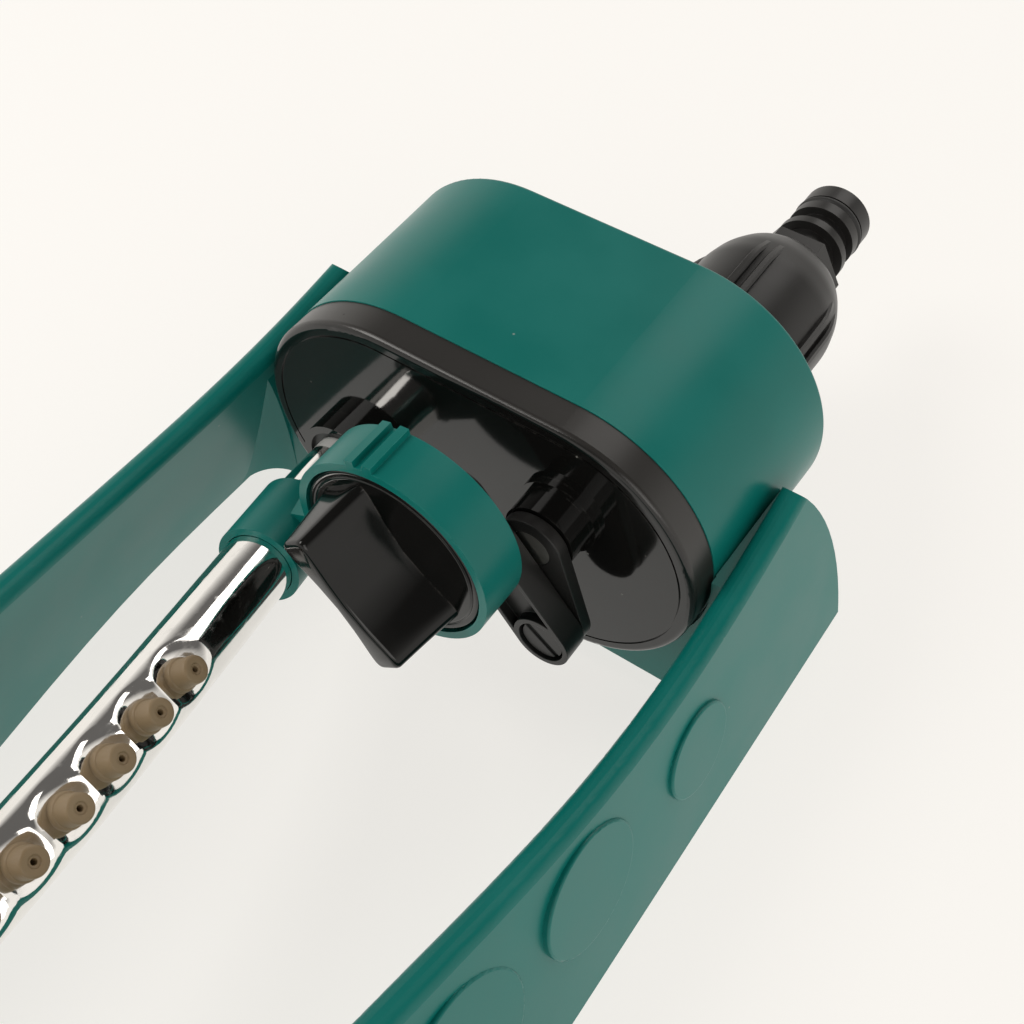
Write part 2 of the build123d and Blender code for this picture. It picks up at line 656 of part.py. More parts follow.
def control_dial():
    """Black selector disc with a waisted grip in front and a stud behind."""
    face = ahead(27.2)
    dial = rod(DIAL_X, DIAL_Z, face, ahead(19.0), 18.6)
    dial = fillet(dial.edges().group_by(Axis.Y)[0], 0.7)
    dial += rod(DIAL_X, DIAL_Z, ahead(19.5), ahead(17.2), 11.7)
    grip_low = make_face(Polyline(*grip_outline(15.5, 7.6, 3.6), close=True))
    grip_high = make_face(Polyline(*grip_outline(14.6, 3.2, 1.3), close=True))
    turn = Pos(DIAL_X, DIAL_Z) * Rot(0, 0, 131)
    sections = [section_plane(face + 0.5) * turn * grip_low, section_plane(ahead(41.4)) * turn * grip_high]
    dial += loft(sections, ruled=True)
    mark = polar(DIAL_X, DIAL_Z, 16.2, -29)
    dial -= Pos(mark[0], face, mark[1]) * Rot(0, 29, 0) * Box(2.6, 1.0, 1.4)
    return dial + rod(EYE_X, EYE_Z, ahead(18), ahead(16.5), 3.0)


def grip_outline(half_length, half_width, half_waist):
    """The grip seen from the front: wide at both ends, narrow at the middle."""
    quarter = [
        (half_length, half_width * 0.55),
        (half_length - 1.8, half_width),
        (half_length * 0.45, half_waist * 1.25),
        (0, half_waist),
    ]
    top = quarter + [(-x, z) for x, z in reversed(quarter[:-1])]
    return top + [(x, -z) for x, z in reversed(top)]


PARTS = {
    "base_frame": base_frame,
    "foot_screws": foot_screws,
    "housing_shell": housing_shell,
    "front_cover": front_cover,
    "cover_seal": cover_seal,
    "housing_screws": housing_screws,
    "outlet_bush": outlet_bush,
    "outlet_seal": outlet_seal,
    "crank_seal": crank_seal,
    "inlet_nut": inlet_nut,
    "inlet_washer": inlet_washer,
    "inlet_filter": inlet_filter,
    "hose_adapter": hose_adapter,
    "adapter_o_ring": adapter_o_ring,
    "output_gear": output_gear,
    "output_shaft": output_shaft,
    "idler_gear": idler_gear,
    "idler_pin": idler_pin,
    "gear_plate": gear_plate,
    "turbine_pinion": turbine_pinion,
    "turbine_shaft": turbine_shaft,
    "turbine_wheel": turbine_wheel,
    "crank_arm": crank_arm,
    "link_arm": link_arm,
    "link_screw": link_screw,
    "spray_tube": spray_tube,
    "nozzles": nozzles,
    "tube_nipple": tube_nipple,
    "end_journal": end_journal,
    "end_bush": end_bush,
    "drain_plug": drain_plug,
    "dial_holder": dial_holder,
    "control_dial": control_dial,
}

os.makedirs("parts", exist_ok=True)
for name, make in PARTS.items():
    export_step(make(), f"parts/{name}.step")
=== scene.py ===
# %% [markdown]
# # An oscillating lawn sprinkler
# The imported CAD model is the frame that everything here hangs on. A moulded plastic base carries a
# stadium-shaped motor housing, and a bent aluminium tube with a row of rubber nozzles swings over it.
# This lesson gives each part its finish, and rebuilds the parts whose soft shapes CAD keeps plain.

# %% Load the frame
import json
import math
import bmesh
import bpy
from mathutils import Matrix, Vector


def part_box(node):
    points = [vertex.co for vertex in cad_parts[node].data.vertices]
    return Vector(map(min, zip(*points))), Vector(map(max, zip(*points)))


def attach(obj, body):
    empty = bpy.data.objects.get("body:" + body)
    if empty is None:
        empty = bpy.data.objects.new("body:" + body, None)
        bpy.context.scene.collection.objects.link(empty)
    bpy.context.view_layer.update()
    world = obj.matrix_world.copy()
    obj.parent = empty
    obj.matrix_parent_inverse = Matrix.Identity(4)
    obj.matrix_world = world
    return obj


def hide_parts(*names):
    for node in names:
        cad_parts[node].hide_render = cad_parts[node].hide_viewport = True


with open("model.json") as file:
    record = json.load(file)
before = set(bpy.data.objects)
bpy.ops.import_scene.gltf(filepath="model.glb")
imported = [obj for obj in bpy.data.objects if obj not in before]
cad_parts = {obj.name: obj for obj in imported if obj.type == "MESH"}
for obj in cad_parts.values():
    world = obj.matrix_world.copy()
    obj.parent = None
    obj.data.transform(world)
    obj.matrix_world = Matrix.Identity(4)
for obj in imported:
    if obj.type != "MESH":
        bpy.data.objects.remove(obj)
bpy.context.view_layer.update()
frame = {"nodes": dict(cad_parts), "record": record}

MM = 0.001
NODES = frame["nodes"]

# %% [markdown]
# ## Reading sizes from the frame
# A box round a CAD part already says where its axis is, so nothing is measured twice. Axes that run
# along Y are kept as an X and a Z, and distances ahead of the cover's face run towards the far end.


# %% Axes and the cover's face
def axis_of(node):
    """X and Z of the middle of a round CAD part that lies along Y."""
    low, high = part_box(node)
    return (low.x + high.x) / 2, (low.z + high.z) / 2


COVER_BAND = 7.3 * MM
COVER_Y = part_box("housing_shell")[0].y - COVER_BAND
TUBE_X, TUBE_Z = axis_of("tube_nipple")
INLET_X, INLET_Z = axis_of("adapter_o_ring")
print("cover face y", round(COVER_Y, 4), "tube axis", round(TUBE_X, 4), round(TUBE_Z, 4))


def ahead(distance):
    """Y of a plane this many millimetres in front of the cover's face."""
    return COVER_Y - distance * MM


# %% [markdown]
# ## Camera, floor and light
# The sprinkler is shown on a pale sweep in very soft light, so that the floor is nearly white and the
# plastic's highlights are broad. The camera looks down steeply from the front. The world is bright
# near the horizon and dark overhead: glossy black parts then mirror the floor and stay dark on top.


# %% Camera
CAMERA_PLACE = Vector((0.0984, -0.0175, 0.2414))
CAMERA_RIGHT = Vector((0.8242, 0.5663, 0.0))
CAMERA_BACK = Vector((0.3454, -0.5028, 0.7924))


def make_camera():
    """A camera at the place above, looking against CAMERA_BACK with its right side level."""
    lens = bpy.data.cameras.new("camera")
    lens.lens = 47.18
    lens.sensor_width = 36.0
    lens.clip_start = 0.005
    camera = bpy.data.objects.new("camera", lens)
    right = CAMERA_RIGHT.normalized()
    back = (CAMERA_BACK - CAMERA_BACK.dot(right) * right).normalized()
    turn = Matrix((right, back.cross(right), back)).transposed()
    camera.matrix_world = Matrix.Translation(CAMERA_PLACE) @ turn.to_4x4()
    bpy.context.scene.collection.objects.link(camera)
    bpy.context.scene.camera = camera
    return camera


camera = make_camera()
print("camera at", tuple(round(v, 3) for v in camera.location))


# %% Floor, world and lamps
FLOOR_SIZE = 6.0
FLOOR_PAINT = (0.26, 0.254, 0.244, 1.0)
FLOOR_GLOW = (0.93, 0.905, 0.865, 1.0)
FLOOR_GLOW_STRENGTH = 0.80
FLOOR_DROP = 0.5 * MM


def make_floor():
    """A floor just under the sprinkler that glows more than it reflects, so shadows nearly vanish."""
    side = FLOOR_SIZE / 2
    corners = [(-side, -side, 0), (side, -side, 0), (side, side, 0), (-side, side, 0)]
    mesh = bpy.data.meshes.new("floor")
    mesh.from_pydata(corners, [], [(0, 1, 2, 3)])
    floor = bpy.data.objects.new("floor", mesh)
    floor.location.z = -FLOOR_DROP
    bpy.context.scene.collection.objects.link(floor)
    paper = bpy.data.materials.new("pale paper")
    paper.use_nodes = True
    shader = paper.node_tree.nodes["Principled BSDF"]
    shader.inputs["Base Color"].default_value = FLOOR_PAINT
    shader.inputs["Roughness"].default_value = 0.85
    shader.inputs["Emission Color"].default_value = FLOOR_GLOW
    shader.inputs["Emission Strength"].default_value = FLOOR_GLOW_STRENGTH
    mesh.materials.append(paper)
    return floor


SWEEP_COLOUR = (0.96, 0.93, 0.88, 1)
CEILING_COLOUR = (0.13, 0.125, 0.12, 1)
SWEEP_TOP, CEILING_START = 0.36, 0.62


def make_world():
    """Bright up to about 20 degrees above the horizon, and dark overhead: a sweep under a ceiling."""
    world = bpy.data.worlds.new("studio")
    bpy.context.scene.world = world
    world.use_nodes = True
    tree = world.node_tree
    tree.nodes.clear()
    out = tree.nodes.new("ShaderNodeOutputWorld")
    sky = tree.nodes.new("ShaderNodeBackground")
    place = tree.nodes.new("ShaderNodeTexCoord")
    split = tree.nodes.new("ShaderNodeSeparateXYZ")
    ramp = tree.nodes.new("ShaderNodeValToRGB")
    ramp.color_ramp.elements[0].position = SWEEP_TOP
    ramp.color_ramp.elements[0].color = SWEEP_COLOUR
    ramp.color_ramp.elements[1].position = CEILING_START
    ramp.color_ramp.elements[1].color = CEILING_COLOUR
    sky.inputs["Strength"].default_value = 1.0
    tree.links.new(place.outputs["Generated"], split.inputs[0])
    tree.links.new(split.outputs["Z"], ramp.inputs[0])
    tree.links.new(ramp.outputs[0], sky.inputs["Color"])
    tree.links.new(sky.outputs[0], out.inputs[0])


def softbox(name, place, target, size, power):
    """A square area lamp that looks at the target."""
    lamp = bpy.data.lights.new(name, "AREA")
    lamp.size = size
    lamp.energy = power
    lamp.color = (1.0, 0.97, 0.93)
    box = bpy.data.objects.new(name, lamp)
    direction = Vector(target) - Vector(place)
    box.matrix_world = Matrix.Translation(place) @ direction.to_track_quat("-Z", "Y").to_matrix().to_4x4()
    bpy.context.scene.collection.objects.link(box)
    return box


make_floor()
make_world()
softbox("key softbox", (-0.55, -0.25, 0.75), (0, 0.05, 0.03), 0.45, 4.0)
softbox("fill softbox", (0.65, -0.35, 0.55), (0, 0.0, 0.03), 0.5, 1.5)
softbox("back softbox", (0.05, 0.9, 0.8), (0, 0.05, 0.03), 0.6, 2.5)
bpy.context.scene.view_settings.view_transform = "Standard"
print("lamps:", len(bpy.data.lights))

# %% [markdown]
# ## Shared surface effects
# Every plastic here has the same kinds of small faults: fine moulding grain, faint cloudiness of the
# colour, rubbed edges and a few specks of dust. Each effect is one node group, built once, that takes
# sizes and amounts and hands back a colour, a mask or a height. The shader stays in the material.


# %% A helper for node groups
def new_group(name, inputs, outputs):
    """An empty shader node group with these named sockets."""
    group = bpy.data.node_groups.new(name, "ShaderNodeTree")
    for label, kind, value in inputs:
        socket = group.interface.new_socket(label, in_out="INPUT", socket_type=kind)
        socket.default_value = value
    for label, kind in outputs:
        group.interface.new_socket(label, in_out="OUTPUT", socket_type=kind)
    return group, group.nodes.new("NodeGroupInput"), group.nodes.new("NodeGroupOutput")


def math_node(tree, operation, *values):
    """A Math node; each value is a number or a socket."""
    node = tree.nodes.new("ShaderNodeMath")
    node.operation = operation
    for index, value in enumerate(values):
        if isinstance(value, (int, float)):
            node.inputs[index].default_value = value
        else:
            tree.links.new(value, node.inputs[index])
    return node.outputs[0]


def noise_node(tree, place, scale, detail=3.0, stretch=None):
    """Noise at this many lumps per metre; the scale is a number or a socket."""
    if stretch is not None:
        mapping = tree.nodes.new("ShaderNodeMapping")
        mapping.inputs["Scale"].default_value = stretch
        tree.links.new(place, mapping.inputs[0])
        place = mapping.outputs[0]
    node = tree.nodes.new("ShaderNodeTexNoise")
    node.inputs["Detail"].default_value = detail
    tree.links.new(place, node.inputs["Vector"])
    if isinstance(scale, (int, float)):
        node.inputs["Scale"].default_value = scale
    else:
        tree.links.new(scale, node.inputs["Scale"])
    return node.outputs["Fac"]


def ramp_between(tree, value, low, high, to_low=0.0, to_high=1.0):
    """The value spread smoothly from to_low at low to to_high at high."""
    node = tree.nodes.new("ShaderNodeMapRange")
    node.interpolation_type = "SMOOTHSTEP"
    for label, setting in (("From Min", low), ("From Max", high), ("To Min", to_low), ("To Max", to_high)):
        if isinstance(setting, (int, float)):
            node.inputs[label].default_value = setting
        else:
            tree.links.new(setting, node.inputs[label])
    tree.links.new(value, node.inputs["Value"])
    return node.outputs[0]


def mix_colour(tree, factor, first, second, blend="MIX"):
    """A Mix node for colours; each is a colour or a socket."""
    node = tree.nodes.new("ShaderNodeMix")
    node.data_type = "RGBA"
    node.blend_type = blend
    for index, value in ((0, factor), (6, first), (7, second)):
        if isinstance(value, (tuple, float, int)):
            node.inputs[index].default_value = value
        else:
            tree.links.new(value, node.inputs[index])
    return node.outputs[2]


# %% The effects
def build_grain_group():
    """Moulding grain: a fine pebble and a slow waviness, put out as a height and a roughness change."""
    group, given, out = new_group(
        "moulding grain",
        [("Place", "NodeSocketVector", (0, 0, 0)), ("Grain per metre", "NodeSocketFloat", 2600.0),
         ("Waves per metre", "NodeSocketFloat", 45.0), ("Wave share", "NodeSocketFloat", 0.3)],
        [("Height", "NodeSocketFloat"), ("Cloud", "NodeSocketFloat")])
    fine = noise_node(group, given.outputs["Place"], given.outputs["Grain per metre"], 2.0)
    wave = noise_node(group, given.outputs["Place"], given.outputs["Waves per metre"], 4.0)
    lifted = math_node(group, "MULTIPLY", wave, given.outputs["Wave share"])
    group.links.new(math_node(group, "ADD", fine, lifted), out.inputs["Height"])
    group.links.new(wave, out.inputs["Cloud"])
    return group


def build_edge_group():
    """Rubbed edges: where a rounded normal leaves the flat one, broken up by noise."""
    group, given, out = new_group(
        "rubbed edges",
        [("Place", "NodeSocketVector", (0, 0, 0)), ("Width", "NodeSocketFloat", 0.0006),
         ("Breaks per metre", "NodeSocketFloat", 500.0)],
        [("Mask", "NodeSocketFloat")])
    bevel = group.nodes.new("ShaderNodeBevel")
    bevel.samples = 4
    group.links.new(given.outputs["Width"], bevel.inputs["Radius"])
    surface = group.nodes.new("ShaderNodeNewGeometry")
    dot = group.nodes.new("ShaderNodeVectorMath")
    dot.operation = "DOT_PRODUCT"
    group.links.new(bevel.outputs[0], dot.inputs[0])
    group.links.new(surface.outputs["Normal"], dot.inputs[1])
    edge = ramp_between(group, dot.outputs["Value"], 0.985, 0.80)
    breaks = noise_node(group, given.outputs["Place"], given.outputs["Breaks per metre"])
    broken = ramp_between(group, breaks, 0.42, 0.62)
    group.links.new(math_node(group, "MULTIPLY", edge, broken), out.inputs["Mask"])
    return group


def build_dust_group():
    """Specks of dust and lint: a few small cells of a Voronoi pattern."""
    group, given, out = new_group(
        "dust specks",
        [("Place", "NodeSocketVector", (0, 0, 0)), ("Specks per metre", "NodeSocketFloat", 260.0),
         ("Share", "NodeSocketFloat", 0.12), ("Size", "NodeSocketFloat", 0.09)],
        [("Mask", "NodeSocketFloat")])
    cells = group.nodes.new("ShaderNodeTexVoronoi")
    group.links.new(given.outputs["Place"], cells.inputs["Vector"])
    group.links.new(given.outputs["Specks per metre"], cells.inputs["Scale"])
    near = ramp_between(group, cells.outputs["Distance"], given.outputs["Size"], 0.0)
    split = group.nodes.new("ShaderNodeSeparateColor")
    group.links.new(cells.outputs["Color"], split.inputs[0])
    chosen = math_node(group, "LESS_THAN", split.outputs[0], given.outputs["Share"])
    group.links.new(math_node(group, "MULTIPLY", near, chosen), out.inputs["Mask"])
    return group


def build_scratch_group():
    """Hairline scratches: noise stretched along one direction and cut to thin ridges."""
    group, given, out = new_group(
        "hairline scratches",
        [("Place", "NodeSocketVector", (0, 0, 0)), ("Lines per metre", "NodeSocketFloat", 900.0)],
        [("Height", "NodeSocketFloat"), ("Mask", "NodeSocketFloat")])
    place, scale = given.outputs["Place"], given.outputs["Lines per metre"]
    lines = noise_node(group, place, scale, 2.0, (1.0, 0.035, 1.0))
    slanted = noise_node(group, place, scale, 2.0, (0.05, 0.4, 1.0))
    both = math_node(group, "MULTIPLY", lines, slanted)
    group.links.new(both, out.inputs["Height"])
    group.links.new(ramp_between(group, both, 0.30, 0.40), out.inputs["Mask"])
    return group


GRAIN = build_grain_group()
EDGES = build_edge_group()
DUST = build_dust_group()
SCRATCHES = build_scratch_group()
print("effect groups:", [g.name for g in bpy.data.node_groups])

# %% [markdown]
# ## Finishes
# The sprinkler has few materials, each with its own gloss: satin teal for the casing and the frame,
# mirror-black for the cover's face and the dial, soft black for rubber and for the hose coupling, tan
# rubber for the nozzles and bright drawn aluminium for the tube. One function builds the common part,
# and each finish then gives its own colours, gloss and grain. The lid has two glosses in one moulding:
# a mirror face, and a band behind it that is duller, chosen by how far back it is. The band is also
# coloured lighter and a little browner than the face, which is a painted sheen.


# %% The common plastic
def use_group(tree, group, place, **settings):
    """Places a group, feeds its Place socket and sets its other inputs."""
    node = tree.nodes.new("ShaderNodeGroup")
    node.node_tree = group
    tree.links.new(place, node.inputs["Place"])
    for label, value in settings.items():
        node.inputs[label.replace("_", " ")].default_value = value
    return node


DUST_COLOUR = (0.6, 0.58, 0.53, 1)
DUST_COVER = 0.45


def moulded(name, colour, cloudy, rough, rubbed, grain=2600.0, depth=0.00001, dust=0.1, wear=0.35,
            edge=0.0006, wave=0.3, rough_spread=0.08, shine=0.5):
    """A moulded plastic or rubber: clouded colour, rubbed edges, dust, grain and uneven gloss."""
    material = bpy.data.materials.new(name)
    material.use_nodes = True
    tree = material.node_tree
    shader = tree.nodes["Principled BSDF"]
    place = tree.nodes.new("ShaderNodeTexCoord").outputs["Object"]
    skin = use_group(tree, GRAIN, place, Grain_per_metre=grain, Wave_share=wave)
    rim = use_group(tree, EDGES, place, Width=edge)
    specks = use_group(tree, DUST, place, Share=dust)
    cloud = ramp_between(tree, skin.outputs["Cloud"], 0.32, 0.68)
    body = mix_colour(tree, cloud, (*colour, 1.0), (*cloudy, 1.0))
    worn = mix_colour(tree, math_node(tree, "MULTIPLY", rim.outputs["Mask"], wear), body, (*rubbed, 1.0))
    dusted = math_node(tree, "MULTIPLY", specks.outputs["Mask"], DUST_COVER)
    dusty = mix_colour(tree, dusted, worn, DUST_COLOUR)
    tree.links.new(dusty, shader.inputs["Base Color"])
    spread = rough_spread / 2
    gloss = ramp_between(tree, skin.outputs["Cloud"], 0.3, 0.7, rough - spread, rough + spread)
    duller = math_node(tree, "ADD", gloss, math_node(tree, "MULTIPLY", specks.outputs["Mask"], 0.4))
    tree.links.new(duller, shader.inputs["Roughness"])
    bump = tree.nodes.new("ShaderNodeBump")
    bump.inputs["Distance"].default_value = depth
    bump.inputs["Strength"].default_value = 1.0
    tree.links.new(skin.outputs["Height"], bump.inputs["Height"])
    tree.links.new(bump.outputs[0], shader.inputs["Normal"])
    shader.inputs["IOR"].default_value = 1.5
    shader.inputs["Specular IOR Level"].default_value = shine
    return material


# %% The plastics and rubbers
TEAL = moulded("teal casing plastic", (0.0015, 0.146, 0.126), (0.003, 0.160, 0.139), 0.34,
               (0.03, 0.23, 0.21), depth=0.000006, dust=0.06, wear=0.3, shine=0.27)
SATIN_BLACK = moulded("satin black plastic", (0.0115, 0.0108, 0.0104), (0.015, 0.0142, 0.0138), 0.36,
                      (0.07, 0.068, 0.065), depth=0.000006, dust=0.1, wear=0.35, shine=0.36)
GLOSS_BLACK = moulded("polished black plastic", (0.0035, 0.0035, 0.0032), (0.005, 0.0048, 0.0044), 0.11,
                      (0.06, 0.056, 0.05), grain=900.0, depth=0.0000012, dust=0.2, wear=0.5,
                      rough_spread=0.03, shine=0.36)
RUBBER = moulded("black seal rubber", (0.012, 0.012, 0.012), (0.018, 0.0175, 0.017), 0.6,
                 (0.05, 0.05, 0.05), grain=3400.0, depth=0.00001, dust=0.15, wear=0.2)
TAN_RUBBER = moulded("tan nozzle rubber", (0.215, 0.150, 0.078), (0.262, 0.188, 0.104), 0.52,
                     (0.36, 0.26, 0.16), grain=4200.0, depth=0.000012, dust=0.1, wear=0.35, edge=0.0003)
PALE = moulded("pale nipple plastic", (0.50, 0.50, 0.49), (0.58, 0.575, 0.56), 0.3,
               (0.7, 0.7, 0.68), depth=0.000006, dust=0.08, wear=0.3)
GEAR_PLASTIC = moulded("natural gear plastic", (0.62, 0.60, 0.53), (0.70, 0.68, 0.61), 0.42,
                       (0.78, 0.76, 0.70), depth=0.000006, dust=0.05, wear=0.3)


# Painted sheen: the lid's band is coloured lighter and browner than its face, standing in for how the satin
# band catches the light.
RIM_PAINTED_SHEEN_COLOUR = (0.019, 0.0175, 0.016, 1.0)
RIM_DULLER = 0.26


def add_satin_rim_and_painted_sheen(material, face_y):
    """The band round the lid, behind the mirror face, is duller than the face, and its lighter, browner
    colour is a painted sheen.
    """
    tree = material.node_tree
    shader = tree.nodes["Principled BSDF"]
    place = tree.nodes.new("ShaderNodeTexCoord").outputs["Object"]
    split = tree.nodes.new("ShaderNodeSeparateXYZ")
    tree.links.new(place, split.inputs[0])
    mask = ramp_between(tree, split.outputs["Y"], face_y + 0.1 * MM, face_y + 0.9 * MM)
    colour = shader.inputs["Base Color"].links[0].from_socket
    # Painted sheen: the band's colour is mixed lighter and browner than the mirror face.
    tree.links.new(mix_colour(tree, mask, colour, RIM_PAINTED_SHEEN_COLOUR), shader.inputs["Base Color"])
    gloss = shader.inputs["Roughness"].links[0].from_socket
    duller = math_node(tree, "ADD", gloss, math_node(tree, "MULTIPLY", mask, RIM_DULLER))
    tree.links.new(duller, shader.inputs["Roughness"])
    return material


LID_BLACK = add_satin_rim_and_painted_sheen(
    moulded("lid black plastic", (0.0045, 0.0045, 0.0042), (0.006, 0.0058, 0.0054), 0.075,
            (0.05, 0.048, 0.045), grain=900.0, depth=0.0000012, dust=0.2, wear=0.4, rough_spread=0.03),
    COVER_Y)
print("plastics ready")


# %% The metals
def bright_metal(name, colour, stained, rough, scratch_depth, scratched=0.12):
    """A bright metal: hairline scratches, faint staining and a wavy drawn surface."""
    material = bpy.data.materials.new(name)
    material.use_nodes = True
    tree = material.node_tree
    shader = tree.nodes["Principled BSDF"]
    place = tree.nodes.new("ShaderNodeTexCoord").outputs["Object"]
    hair = use_group(tree, SCRATCHES, place)
    skin = use_group(tree, GRAIN, place, Grain_per_metre=900.0, Waves_per_metre=60.0)
    stain = ramp_between(tree, skin.outputs["Cloud"], 0.4, 0.72)
    tree.links.new(mix_colour(tree, stain, (*colour, 1), (*stained, 1)), shader.inputs["Base Color"])
    dulled = math_node(tree, "MULTIPLY", hair.outputs["Mask"], scratched)
    gloss = ramp_between(tree, skin.outputs["Cloud"], 0.35, 0.75, rough, rough + 0.06)
    tree.links.new(math_node(tree, "ADD", gloss, dulled), shader.inputs["Roughness"])
    bump = tree.nodes.new("ShaderNodeBump")
    bump.inputs["Distance"].default_value = scratch_depth
    tree.links.new(hair.outputs["Height"], bump.inputs["Height"])
    tree.links.new(bump.outputs[0], shader.inputs["Normal"])
    shader.inputs["Metallic"].default_value = 1.0
    return material


ALUMINIUM = bright_metal("bright drawn aluminium", (0.90, 0.885, 0.86), (0.82, 0.805, 0.78), 0.06, 0.000012)
ZINC = bright_metal("zinc plated steel", (0.62, 0.61, 0.58), (0.50, 0.50, 0.47), 0.26, 0.00001)
print("metals ready")

# %% [markdown]
# ## Making pieces
# Three ways of making meshes are used below. A round part is one profile turned about an axis. A part
# that CAD already shaped well only lacks the small radius that every moulding has, so its mesh is
# copied, its loose triangles are merged and its sharp edges are bevelled. What repeats is made once and
# handed to a Geometry Nodes tree, which turns copies of it round an axis.


# %% Helpers for meshes
def finish_piece(name, mesh, material, body, replaced, crease=40.0):
    """Puts a mesh in the scene as a piece: shading, material and body, and hides the CAD nodes it stands
    for.
    """
    mesh.materials.clear()
    mesh.materials.append(material)
    for face in mesh.polygons:
        face.use_smooth = True
    if crease:
        mesh.set_sharp_from_angle(angle=math.radians(crease))
    piece = bpy.data.objects.new(name, mesh)
    bpy.context.scene.collection.objects.link(piece)
    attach(piece, body)
    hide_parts(*replaced)
    print(name, "triangles:", sum(len(face.vertices) - 2 for face in mesh.polygons))
    return piece


def closed_mesh(name, verts, faces):
    """A mesh whose doubles are merged and whose faces point outwards."""
    mesh = bpy.data.meshes.new(name)
    mesh.from_pydata(verts, [], faces)
    work = bmesh.new()
    work.from_mesh(mesh)
    bmesh.ops.remove_doubles(work, verts=work.verts, dist=0.000001)
    bmesh.ops.recalc_face_normals(work, faces=work.faces)
    work.to_mesh(mesh)
    work.free()
    return mesh


def stacked_rings(rings):
    """Faces between rings of points; each end is closed by a flat cap."""
    verts = [point for ring in rings for point in ring]
    count = len(rings[0])
    faces = [tuple(range(count)), tuple(range(len(verts) - count, len(verts)))]
    for level in range(len(rings) - 1):
        for step in range(count):
            following = (step + 1) % count
            low, high = level * count, (level + 1) * count
            faces.append((low + step, low + following, high + following, high + step))
    return verts, faces


def turned(profile, steps=72):
    """Rings of points for a profile of (radius, height) pairs turned about Z."""
    circle = [2 * math.pi * step / steps for step in range(steps)]
    return [[(max(radius, 0.00002) * math.cos(a), max(radius, 0.00002) * math.sin(a), height)
             for a in circle] for radius, height in profile]


def eased(points, radius, arcs=4):
    """A profile of (radius, height) pairs with its inner corners rounded."""
    out = [points[0]]
    for before, corner, after in zip(points, points[1:], points[2:]):
        here = Vector(corner)
        arms = [Vector(before) - here, Vector(after) - here]
        reach = min([radius] + [arm.length / 2 for arm in arms])
        start, end = (here + arm.normalized() * reach for arm in arms)
        for step in range(arcs + 1):
            t = step / arcs
            out.append(tuple(start * (1 - t) ** 2 + here * 2 * t * (1 - t) + end * t ** 2))
    return out + [points[-1]]


def along_y(x, z, y_start, sign=1):
    """Moves a part built about +Z so that it lies along Y, from y_start on."""
    return Matrix.Translation((x, y_start, z)) @ Matrix.Rotation(-sign * math.pi / 2, 4, "X")


def evaluated_mesh(carrier, name):
    """The plain mesh that an object with modifiers gives; the carrier is removed."""
    bpy.context.view_layer.update()
    graph = bpy.context.evaluated_depsgraph_get()
    mesh = bpy.data.meshes.new_from_object(carrier.evaluated_get(graph), depsgraph=graph)
    mesh.name = name
    bpy.data.objects.remove(carrier)
    return mesh


def eased_copy(node, width, name, limit=32.0):
    """A copy of a CAD node's mesh with its loose triangles merged and its sharp edges bevelled."""
    work = bmesh.new()
    work.from_mesh(NODES[node].data)
    bmesh.ops.remove_doubles(work, verts=work.verts, dist=0.000002)
    bmesh.ops.dissolve_limit(work, angle_limit=math.radians(0.4), verts=work.verts, edges=work.edges)
    mesh = bpy.data.meshes.new(name)
    work.to_mesh(mesh)
    work.free()
    carrier = bpy.data.objects.new(name, mesh)
    bpy.context.scene.collection.objects.link(carrier)
    bevel = carrier.modifiers.new("small radius", "BEVEL")
    bevel.width = width
    bevel.segments = 2
    bevel.limit_method = "ANGLE"
    bevel.angle_limit = math.radians(limit)
    bevel.miter_outer = "MITER_ARC"
    carrier.modifiers.new("true normals", "WEIGHTED_NORMAL")
    for face in mesh.polygons:
        face.use_smooth = True
    return evaluated_mesh(carrier, name)


# %% A tree that turns copies round an axis
def build_copies_tree():
    """Geometry Nodes: Count copies of the part, turned about Axis through Centre by equal steps."""
    tree = bpy.data.node_groups.new("copies round an axis", "GeometryNodeTree")
    face = tree.interface
    face.new_socket("Part", in_out="INPUT", socket_type="NodeSocketGeometry")
    for label, kind in (("Count", "NodeSocketInt"), ("First angle", "NodeSocketFloat"),
                        ("Step angle", "NodeSocketFloat"), ("Axis", "NodeSocketVector"),
                        ("Centre", "NodeSocketVector"), ("Finish", "NodeSocketMaterial")):
        face.new_socket(label, in_out="INPUT", socket_type=kind)
    face.new_socket("Copies", in_out="OUTPUT", socket_type="NodeSocketGeometry")
    add, link = tree.nodes.new, tree.links.new
    given, out = add("NodeGroupInput"), add("NodeGroupOutput")
    points = add("GeometryNodePoints")
    link(given.outputs["Count"], points.inputs["Count"])
    link(given.outputs["Centre"], points.inputs["Position"])
    number = add("GeometryNodeInputIndex")
    step = math_node(tree, "MULTIPLY", number.outputs[0], given.outputs["Step angle"])
    angle = math_node(tree, "ADD", step, given.outputs["First angle"])
    turn = add("FunctionNodeAxisAngleToRotation")
    link(given.outputs["Axis"], turn.inputs["Axis"])
    link(angle, turn.inputs["Angle"])
    copies = add("GeometryNodeInstanceOnPoints")
    link(points.outputs[0], copies.inputs["Points"])
    link(given.outputs["Part"], copies.inputs["Instance"])
    link(turn.outputs[0], copies.inputs["Rotation"])
    real = add("GeometryNodeRealizeInstances")
    link(copies.outputs[0], real.inputs[0])
    coat = add("GeometryNodeSetMaterial")
    link(real.outputs[0], coat.inputs["Geometry"])
    link(given.outputs["Finish"], coat.inputs["Material"])
    link(coat.outputs[0], out.inputs["Copies"])
    return tree


COPIES = build_copies_tree()


